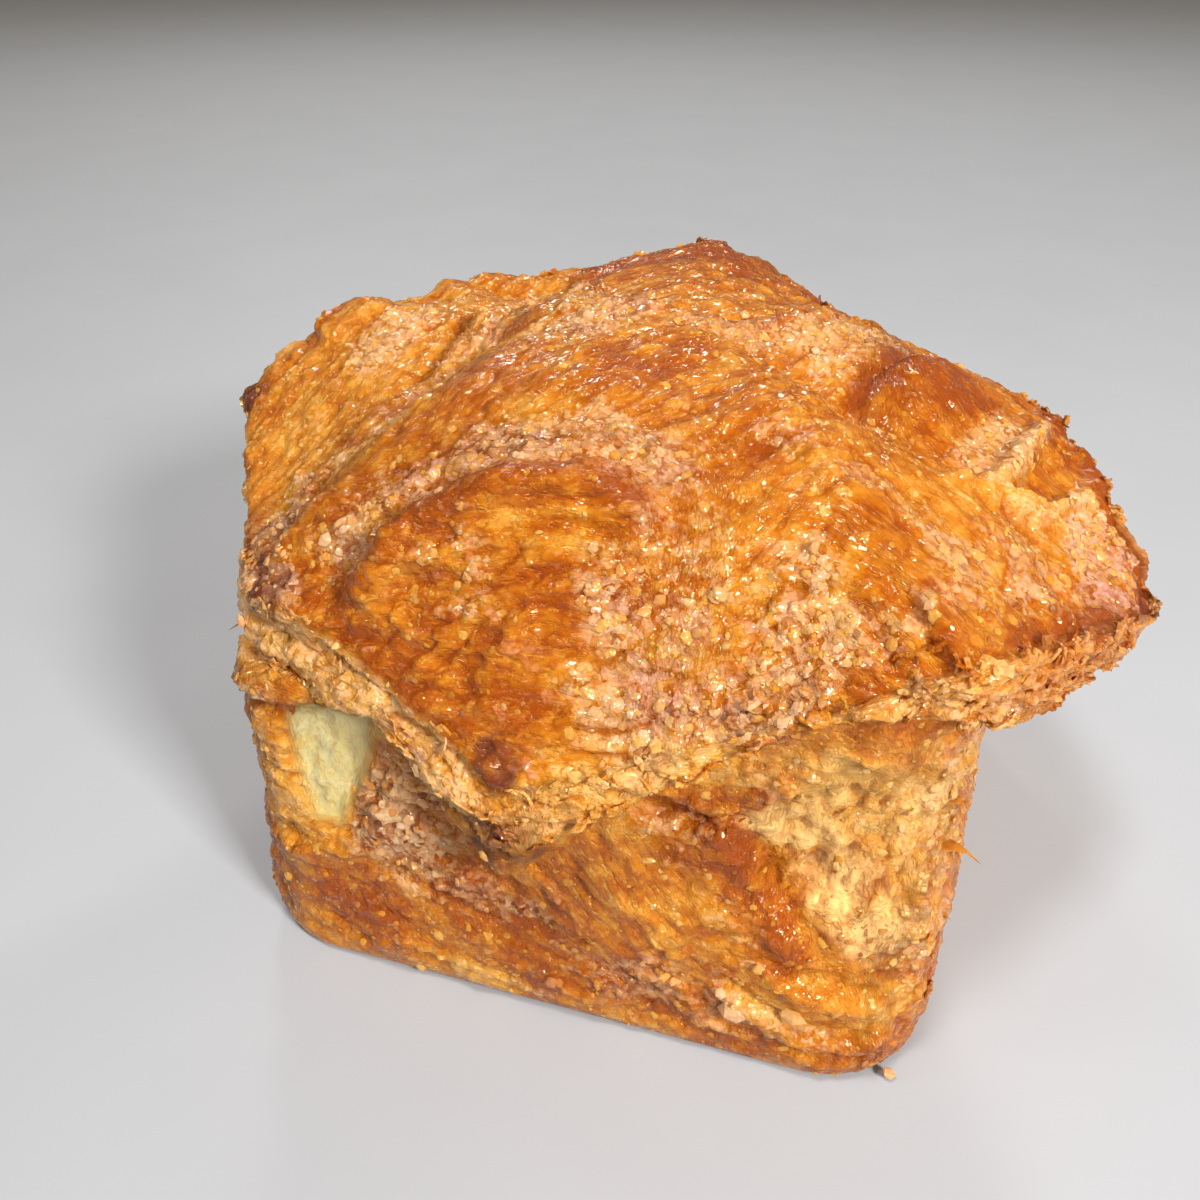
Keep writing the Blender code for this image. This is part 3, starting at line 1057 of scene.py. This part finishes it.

# %% [markdown]
# ## The crust
#
# One finish covers the pastry, because the real crust changes from one covering to
# the next without a border. Caramel runs from pale gold through orange to a deep
# red-brown, by how long the sugar stood in the heat, and in a few places by the light
# and shade painted into it. Frost is lighter and slightly pink, and each grain has its
# own shade. The sheets of the cut edge are cream with brown lines. Everything lets some
# light through and shines like glass, and each grain leans its own way, so that single
# ones catch the light.

# %% The crust's finish
CARAMELS = [(0.81, 0.45, 0.13), (0.67, 0.30, 0.040), (0.535, 0.183, 0.010),
            (0.41, 0.100, 0.003), (0.28, 0.050, 0.002)]
FROST = (0.74, 0.50, 0.255)
ROSE = (0.77, 0.39, 0.32)
CREAM = (0.84, 0.44, 0.13)
DOUGHS = [(0.53, 0.34, 0.05), (0.57, 0.48, 0.17), (0.66, 0.60, 0.34)]
CRUMB = (0.94, 0.57, 0.20)
BURNT = (0.12, 0.025, 0.014)
AMBER_GLOW = (1.0, 0.35, 0.08)
WARM_SHEEN = (1.0, 0.78, 0.50, 1.0)


def crust_material():
    """Caramel, frost, cut edge, crumb, bare dough and burnt spots, one over another."""
    finish = Finish("sugared_crust", Specular_Tint=WARM_SHEEN, Subsurface_Weight=0.3,
                    Subsurface_Scale=0.0015, Subsurface_Radius=AMBER_GLOW, IOR=1.55)
    finish.shader.subsurface_method = "BURLEY"
    along_pull = finish.node("Attribute", {"attribute_name": "along_pull"}, output="Vector")
    frosted, charred = finish.known("frost"), finish.known("burnt")
    bare, torn = finish.known("dough"), finish.known("crumb")
    sheeted, drawn = finish.known("sheets"), finish.known("threads")
    crystal, facet = finish.cells(0.8)
    own_shade = finish.node("SeparateColor", {}, {"Color": facet})
    grainy = finish.noise(0.6, 3, 0.62, along_pull)
    rolling = finish.noise(1.0, 1, 0.5, along_pull)
    stained = finish.noise(2.4, 3)
    outline = (1 - abs(stained - 0.5) * 16).clipped()
    flake = (1 - abs(grainy - 0.5) * 9).clipped()

    # Caramel, made darker and paler by noise drawn out along the pull.
    tone = finish.known("caramel") + 0.30 * (stained - 0.5) + 0.52 * (grainy - 0.5)
    tone = tone + 0.20 * (finish.known("grain") - 0.5) + 0.12 * finish.known("gaps")
    tone = tone - 0.30 * (drawn - 0.5) + 0.16 * outline + 0.18 * flake
    colour = finish.ramp(tone.clipped(), CARAMELS)

    # Frost, crystal by crystal, and the cream of the cut edge between its brown lines.
    share = frosted * (0.2 + own_shade) - 0.3 * crystal - 0.2 * outline
    share = share + 0.9 * (grainy - 0.5)
    frost_colour = finish.mix(finish.known("rosy"), FROST, ROSE)
    colour = finish.mix(share.clipped() * 0.8, colour, frost_colour)
    edge = finish.known("cut") * (1.5 * sheeted - 0.3 + 1.4 * (grainy - 0.5))
    colour = finish.mix(edge.clipped() * 0.75, colour, CREAM)

    # Torn crumb, bare dough and burnt spots, each over what came before.
    crumb = torn * (0.10 + 1.5 * drawn + 1.6 * (grainy - 0.5))
    colour = finish.mix(crumb.clipped(), colour, CRUMB)
    pale = (bare * (1.1 + 1.2 * (grainy - 0.5) + 0.4 * (stained - 0.5)) - 0.2).clipped()
    ripeness = 0.7 * bare + 0.8 * (stained - 0.5) + 0.3 * (grainy - 0.5)
    colour = finish.mix(pale, colour, finish.ramp(ripeness.clipped(), DOUGHS))
    colour = finish.mix((charred * (0.3 + 1.2 * stained)).clipped(), colour, BURNT)

    # A smooth coat with fine relief, and crystals that lean their own way.
    rough = 0.12 + 0.2 * (grainy - 0.5) + 0.15 * torn
    relief_here = 0.25 * rolling + 0.42 * grainy + 0.05 * flake
    relief_here = (1 - 0.6 * bare - 0.3 * torn) * relief_here
    normal = finish.tilted(finish.bump(relief_here, 1.0), facet, 0.15 + 0.55 * frosted)
    return finish.surface(Base_Color=colour, Roughness=rough.clipped(), Normal=normal)


crust = crust_material()
for piece in (crown_piece, block_piece):
    dress(piece, crust)
    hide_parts("pastry")

# %% [markdown]
# ## Loose sheets
#
# Where the laminated dough was torn, single sheets stand off the surface. Along the
# cut edge they lift as short flakes, left of the front tip they hang over each other,
# longer and glassy with caramel, and at the rim they lift only a little. Each is a
# small bent and ragged leaf, rooted in the surface. They wear the crust's own finish,
# with the covering of the place where they stand.

# %% Leaves of dough
choice = np.random.default_rng(20)
LEAF_ROWS, LEAF_STEPS = 3, 6
LEAF_THICKNESS = 0.16
ROOT_DEPTH = 0.25            # how deep a leaf's root sits in the crust


def leaf_faces():
    """The faces of one closed leaf: its two sides and the band round them."""
    grid = np.arange(LEAF_ROWS * LEAF_STEPS).reshape(LEAF_ROWS, LEAF_STEPS)
    top_side = np.stack([grid[:-1, :-1], grid[:-1, 1:], grid[1:, 1:], grid[1:, :-1]], axis=2)
    top_side = top_side.reshape(-1, 4)
    bottom = top_side[:, ::-1] + grid.size
    loop = np.concatenate([grid[0], grid[1:, -1], grid[-1, -2::-1], grid[-2:0:-1, 0]])
    after = np.roll(loop, -1)
    band = np.stack([after, loop, loop + grid.size, after + grid.size], axis=1)
    return np.vstack([top_side, bottom, band])


def leaves(name, spots, length, width, turn, lean, thickness=LEAF_THICKNESS):
    """One mesh of leaves. Sizes and angles are each a lowest and highest value."""
    count = len(spots)
    length, width = choice.uniform(*length, count), choice.uniform(*width, count)
    turn = np.radians(choice.uniform(*turn, count))[:, None]
    lean = np.radians(choice.uniform(*lean, count))[:, None, None]
    outward = facing[spots]
    level = np.cross(UP, outward)
    level /= np.linalg.norm(level, axis=1, keepdims=True) + 1e-9
    upward = np.cross(outward, level)
    along = level * np.cos(turn) + upward * np.sin(turn)
    across = np.cross(outward, along)

    # Each leaf narrows outwards, is torn along its free side, bent and a bit crumpled.
    step, row = np.meshgrid(np.linspace(-1, 1, LEAF_STEPS), np.linspace(0, 1, LEAF_ROWS))
    step, row = step.ravel(), row.ravel()
    shrink = 1 - 0.45 * row * choice.uniform(0.2, 1.3, (count, 1))
    torn_edge = 1 - 0.45 * choice.uniform(size=(count, len(row))) * (row == 1)
    bent = choice.uniform(-0.5, 0.5, (count, 1)) * (step ** 2 - 0.3) * length[:, None] * 0.35
    bent += choice.uniform(-0.12, 0.12, (count, len(row)))
    span = (step * shrink * length[:, None] / 2)[:, :, None]
    out = (row * torn_edge * width[:, None])[:, :, None]
    bent = bent[:, :, None]

    # Stand it up from the skin by its lean, rooted a little below, and give it two sides.
    stand = across[:, None] * np.cos(lean) + outward[:, None] * np.sin(lean)
    off = outward[:, None] * np.cos(lean) - across[:, None] * np.sin(lean)
    root = (shaped[spots] - ROOT_DEPTH * outward)[:, None]
    middle_sheet = root + along[:, None] * span + stand * out + off * bent
    half = off * thickness / 2
    points = np.concatenate([middle_sheet + half, middle_sheet - half], axis=1)
    each = points.shape[1]
    faces = (leaf_faces() + each * np.arange(count)[:, None, None]).reshape(-1, 4)
    mesh = bpy.data.meshes.new(name)
    mesh.from_pydata(points.reshape(-1, 3) * MM, [], faces.tolist())
    for label, values in covering.items():
        keep(mesh, label, np.repeat(values[spots], each))
    keep(mesh, "along_pull", points.reshape(-1, 3))
    print(name, count, "leaves,", 2 * len(faces), "triangles")
    return piece_of(mesh)


def pick(weight, count):
    """Points of the skin, picked at random in proportion to a weight."""
    return choice.choice(len(shaped), count, replace=False, p=weight / weight.sum())


to_the_right = home[:, 0]
above_tray = height > 3.0
open_side = 0.1 + 0.9 * ease((home[:, 0] - home[:, 1] + 10) / 20)
open_side *= (to_the_right < 47) * (to_the_right > -28)
edge_share = ((cut - glassy_edge).clip(0) + 0.3 * under) * open_side
glassy_share = (glassy_edge + 0.2 * ledge_open * hump(ledge_gap, 2)) * (to_the_right > -30)
rim_share = torn_rim * top * (to_the_right > 0) * (to_the_right < 44)
rim_share += 0.05 * block * above_tray
leaf_pieces = [
    leaves("edge_leaves", pick(edge_share, 600), (1.0, 3.2), (0.5, 1.4), (-30, 30), (5, 45),
           0.25),
    leaves("glassy_leaves", pick(glassy_share, 60), (1.5, 4.0), (0.8, 2.0), (-45, -10), (0, 14)),
    leaves("rim_leaves", pick(rim_share, 140), (1.5, 4.0), (0.5, 1.4), (-25, 25), (-8, 12)),
]

# %% [markdown]
# ## Splinters
#
# A few splinters of caramelised dough stand out at the block's corners, where it was
# pulled from the tin. There are only five, so each is listed one by one: a tapered
# box with four rings of corners, bent a little downwards.

# %% Five splinters
SHARD_RINGS = (0, 0.3, 0.6, 1)
SHARD_CORNERS = 4 * len(SHARD_RINGS)


def shard(place, along, length, width):
    """A thin, slightly bent splinter that stands out from a place, as points and faces."""
    along = np.array(along) / np.linalg.norm(along)
    across = np.cross(along, UP)
    rows = [place + along * length * share + UP * (0.7 * share * (0.6 - share) * length)
            + (across * a * width + UP * b * 0.3) * (1.05 - share) ** 2 / 2
            for share in SHARD_RINGS for a, b in ((-1, -1), (1, -1), (1, 1), (-1, 1))]
    band = [(4 * row + a, 4 * row + b, 4 * row + b + 4, 4 * row + a + 4)
            for row in (0, 1, 2) for a, b in ((0, 1), (1, 2), (2, 3), (3, 0))]
    return np.array(rows), np.array([(3, 2, 1, 0), *band, (12, 13, 14, 15)])


stood_out = [shard(*row) for row in (
    ((34.6, -28.8, 27.2), (1, -0.2, 0.1), 3.8, 2.0),
    ((35.2, -29.0, 19.5), (1, -0.3, 0.0), 1.6, 1.6),
    ((34.6, -30.5, 34.0), (1, -0.4, 0.1), 1.8, 1.4),
    ((-34.5, -27.0, 35.5), (-1, -0.5, 0.1), 3.0, 2.0),
    ((-34.0, -26.0, 24.5), (-1, -0.5, 0.0), 2.4, 2.0))]
shards = bpy.data.meshes.new("shards")
shards.from_pydata(
    np.vstack([points for points, _ in stood_out]) * MM, [],
    np.vstack([faces + SHARD_CORNERS * row
               for row, (_, faces) in enumerate(stood_out)]).tolist())
for label in covering:
    amount = 0.3 if label == "caramel" else 0.2
    keep(shards, label, np.full(SHARD_CORNERS * len(stood_out), amount))
leaf_pieces.append(piece_of(shards))
for piece in leaf_pieces:
    dress(piece, crust)

# %% [markdown]
# ## One grain of sugar
#
# A half-melted grain is a rounded lump with chipped corners. The round body with the
# fewest even faces that still looks round is the icosahedron, of twenty triangles: its
# corners are the corners of three golden rectangles, and its faces are every three
# corners that are all neighbours.

# %% The twenty-faced lump
GOLDEN = (1 + math.sqrt(5)) / 2
LUMP_POINTS = np.array([(0, a, b * GOLDEN) for a in (-1, 1) for b in (-1, 1)])
LUMP_POINTS = np.vstack([np.roll(LUMP_POINTS, turn, axis=1) for turn in range(3)])
LUMP_POINTS /= np.linalg.norm(LUMP_POINTS[0])


def lump_faces():
    """The twenty faces of the round lump, wound outwards."""
    side = np.linalg.norm(LUMP_POINTS[:, None] - LUMP_POINTS, axis=2)
    near = np.isclose(side, side[side > 0].min())
    faces = []
    for a, b, c in itertools.combinations(range(len(LUMP_POINTS)), 3):
        if near[a, b] and near[b, c] and near[a, c]:
            corner_point, ahead, behind = LUMP_POINTS[[a, b, c]]
            turned = np.cross(ahead - corner_point, behind - corner_point)
            faces.append((a, b, c) if turned @ corner_point > 0 else (a, c, b))
    return np.array(faces)


print("a lump:", len(LUMP_POINTS), "corners and", len(lump_faces()), "faces")

# %% [markdown]
# ## Sugar grains
#
# The last sugar only half melted. Its grains stand on the crust, thick in the frost
# and on the block, thin in the pools: small chipped lumps, flat and sunk by more than
# half, no two turned the same way. Each has taken the colour of the caramel round it,
# painted light and shade included, a little paler. They are joined into one mesh for
# the crown and one for the block.

# %% Scatter the sugar
def spins(count):
    """Random turns, as one three by three matrix each."""
    turned, _ = np.linalg.qr(choice.normal(size=(count, 3, 3)))
    return turned * np.sign(np.linalg.det(turned))[:, None, None]


GRAIN_FLATNESS = 0.6
CROWN_GRAINS, CROWN_SUNK = 6500, 0.78
BLOCK_GRAINS, BLOCK_SUNK = 4500, 0.75


def sugar(name, spots, sizes, flatness, sunk, loose=()):
    """One mesh of chipped lumps, at points of the skin and at loose places."""
    places = np.vstack([shaped[spots], *loose])
    outward = np.vstack([facing[spots], *[UP for _ in loose]])
    count, each = len(places), len(LUMP_POINTS)

    # Chip the corners, squash the lump, turn it, and flatten it against the skin.
    base = LUMP_POINTS / np.abs(LUMP_POINTS).max(axis=1, keepdims=True) ** 0.8
    corners = base * choice.uniform(0.68, 1.15, (count, each, 1))
    corners = corners * choice.uniform((0.75, 0.6, 0.5), 1.0, (count, 3))[:, None]
    corners = np.einsum("nij,nkj->nki", spins(count), corners) * sizes[:, None, None] / 2
    upward = np.einsum("nki,ni->nk", corners, outward)[:, :, None] * outward[:, None]
    corners -= flatness * upward
    thick = sizes * (1 - flatness)
    centre = places + outward * (thick * (0.4 - 0.8 * sunk))[:, None]
    points = (corners + centre[:, None]).reshape(-1, 3)
    faces = (lump_faces() + each * np.arange(count)[:, None, None]).reshape(-1, 3)
    mesh = bpy.data.meshes.new(name)
    mesh.from_pydata(points * MM, [], faces.tolist())
    for label in ("caramel", "frost"):
        values = np.append(covering[label][spots], [1.0] * len(loose))
        keep(mesh, label, np.repeat(values, each))
    keep(mesh, "own", np.repeat(choice.uniform(size=count), each))
    print(name, count, "lumps,", len(faces), "triangles")
    return piece_of(mesh)


def grain_sizes(count):
    """Sizes of half-melted grains, in millimetres."""
    return np.clip(choice.lognormal(-0.4, 0.4, count), 0.4, 1.6)


stands_free = (height > 1.0) * (1 - bare_dough) * (1 - 0.7 * cut) * (1 - 0.6 * pools)
stands_free = stands_free * (1 - 0.9 * burnt)
sugared = stands_free * (0.10 + frost ** 2)
crown_sugar = sugar("crown_sugar", pick(sugared * crown, CROWN_GRAINS),
                    grain_sizes(CROWN_GRAINS), GRAIN_FLATNESS, CROWN_SUNK)
block_sugar = sugar("block_sugar", pick((sugared + 0.2 * stands_free) * block, BLOCK_GRAINS),
                    grain_sizes(BLOCK_GRAINS), GRAIN_FLATNESS, BLOCK_SUNK)

# %% [markdown]
# A few crystals are larger and clearer, as in coarse sugar. Most lie in the frost
# wherever chance puts them, the two largest sit on the block's front, and one lies
# loose beside the foot.

# %% Add the large crystals
LARGE = 36
BIG_ONES = ((18.7, 8.2), (24, 9.5))       # x and height of the two largest, in front
LOOSE_ONE = (33.8, -33.3, 0.7)
spots = pick(stands_free * frost ** 2, LARGE)
in_front = np.where(facing @ FRONT > 0.3, 0.0, FAR)
for x, z in BIG_ONES:
    away = np.hypot(shaped[:, 0] - x, shaped[:, 2] - z) + in_front
    spots = np.append(spots, away.argmin())
sizes = np.append(choice.uniform(1.1, 1.7, LARGE), [3.8, 3.0, 1.5])
crystals = sugar("sugar_crystals", spots, sizes, 0.35, 0.4, [LOOSE_ONE])

# %% [markdown]
# ## The sugar's finish
#
# Clear grains look grey unless there is a bright world to shine through them. Opaque
# ones that let the light in under their surface keep the warmth of the caramel, and
# a smooth, slightly uneven surface gives each its own glint.

# %% The sugar's finish
PALE_SHEEN = (1.0, 0.86, 0.66, 1.0)
SUGAR_GLOW = (1.0, 0.6, 0.3)
PALES = [(0.60, 0.28, 0.09), (0.67, 0.37, 0.17), (0.76, 0.50, 0.30)]


def sugar_material(name, clear):
    """Half-melted sugar in the colour of the caramel round it, painted shade included, or clear
    crystals.
    """
    finish = Finish(name, Specular_Tint=PALE_SHEEN, Subsurface_Weight=0.6, IOR=1.6,
                    Subsurface_Scale=0.0012, Subsurface_Radius=SUGAR_GLOW)
    finish.shader.subsurface_method = "BURLEY"
    own = finish.known("own")
    uneven = finish.noise(0.6, 1)
    tone = finish.known("caramel") + 0.2 * (own - 0.5) + 0.5 * (uneven - 0.5) - 0.08
    colour = finish.ramp(tone.clipped(), CARAMELS)
    share = clear + 0.65 * finish.known("frost") * (0.2 + own) + 0.5 * (uneven - 0.5)
    colour = finish.mix(share.clipped(), colour, finish.ramp(own, PALES))
    rough = 0.04 + 0.12 * uneven
    return finish.surface(Base_Color=colour, Roughness=rough,
                          Normal=finish.bump(uneven, 0.25))


melted_sugar = sugar_material("melted_sugar", 0.0)
for piece in (crown_sugar, block_sugar):
    dress(piece, melted_sugar)
dress(crystals, sugar_material("clear_sugar", 0.6))

# %% [markdown]
# ## The floor
#
# The pastry stands on a plain pale floor, a little uneven in shade like a sheet of
# matt paper, and wide enough to reach past every view.

# %% The floor
FLOOR_HALF = 3.0             # metres
FLOOR_SHADES = [(0.43, 0.455, 0.49), (0.47, 0.495, 0.53)]


def floor_piece():
    """One large square under the pastry."""
    mesh = bpy.data.meshes.new("floor")
    ways = ((-1, -1), (1, -1), (1, 1), (-1, 1))
    mesh.from_pydata([(FLOOR_HALF * x, FLOOR_HALF * y, 0) for x, y in ways], [], [(0, 1, 2, 3)])
    piece = piece_of(mesh)
    finish = Finish("pale_floor", Roughness=0.55)
    shade = finish.ramp(finish.noise(30, 4), FLOOR_SHADES)
    mesh.materials.append(finish.surface(Base_Color=shade))
    return piece


floor = floor_piece()
print("floor:", 2 * FLOOR_HALF, "m wide")

# %% [markdown]
# ## Light
#
# Syrup glints because it mirrors small, bright things, so the light comes from five
# small windows and not from one wide sky. The strongest stands at the front right, a
# third of the way up, a weak one at the left, one above, and two behind, which draw
# the glints along the far edges. The room itself adds a weak, warm fill.

# %% Windows and room
_, pastry_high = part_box("pastry")
aim = Vector((0, 0, pastry_high[2] / 2))
FRONT_TINT, TOP_TINT, BACK_TINT = (1.0, 0.97, 0.93), (1.0, 0.98, 0.97), (1.0, 0.98, 0.95)
ROOM, ROOM_STRENGTH = (1.0, 0.86, 0.70, 1.0), 0.24


def towards(round_to, up):
    """The direction at so many degrees round to the right of the front, and up."""
    flat = math.cos(math.radians(up))
    return Vector((math.sin(math.radians(round_to)) * flat,
                   -math.cos(math.radians(round_to)) * flat, math.sin(math.radians(up))))


def window(name, round_to, up, distance, side, watts, colour):
    """A soft square light in a direction from the pastry, facing it."""
    light = bpy.data.lights.new(name, "AREA")
    light.shape = "RECTANGLE"
    light.size = light.size_y = side
    light.energy = watts
    light.color = colour
    lamp = bpy.data.objects.new(name, light)
    bpy.context.scene.collection.objects.link(lamp)
    away = towards(round_to, up)
    lamp.location = aim + distance * away
    lamp.rotation_euler = away.to_track_quat("Z", "Y").to_euler()
    print(name, "at", round_to, "degrees round and", up, "up:", watts, "W")


window("main_window", 52, 32, 0.6, 0.12, 4.5, FRONT_TINT)
window("left_window", -55, 38, 0.6, 0.12, 0.25, FRONT_TINT)
window("top_window", -10, 70, 0.7, 0.12, 2.2, TOP_TINT)
window("far_window", 172, 42, 0.8, 0.10, 1.2, BACK_TINT)
window("corner_window", 212, 33, 0.8, 0.10, 0.9, BACK_TINT)
world = bpy.data.worlds.new("pale room")
world.use_nodes = True
background = world.node_tree.nodes["Background"]
background.inputs["Color"].default_value = ROOM
background.inputs["Strength"].default_value = ROOM_STRENGTH
bpy.context.scene.world = world
bpy.context.scene.view_settings.view_transform = "Standard"

# %% [markdown]
# ## Camera
#
# The eye looks down on the pastry's front from its right, as one looks at a plate, so
# the crown, the cut edge and the block's front all show. A lens as long as the sensor
# is wide keeps the near tip a little larger than the far one.

# %% Camera
EYE = (0.03004, -0.11288, 0.10262)        # metres
EYE_ROUND, EYE_UP = 18, 32.3              # degrees round to the right, and up
LENS = SENSOR = 36                        # millimetres
NEAREST = 0.001                           # metres

eye = bpy.data.objects.new("eye", bpy.data.cameras.new("eye"))
eye.data.sensor_width = SENSOR
eye.data.lens = LENS
eye.data.clip_start = NEAREST
eye.location = EYE
eye.rotation_euler = towards(EYE_ROUND, EYE_UP).to_track_quat("Z", "Y").to_euler()
bpy.context.scene.collection.objects.link(eye)
bpy.context.scene.camera = eye
print("camera:", round((eye.location - aim).length / MM), "mm from the pastry's middle")
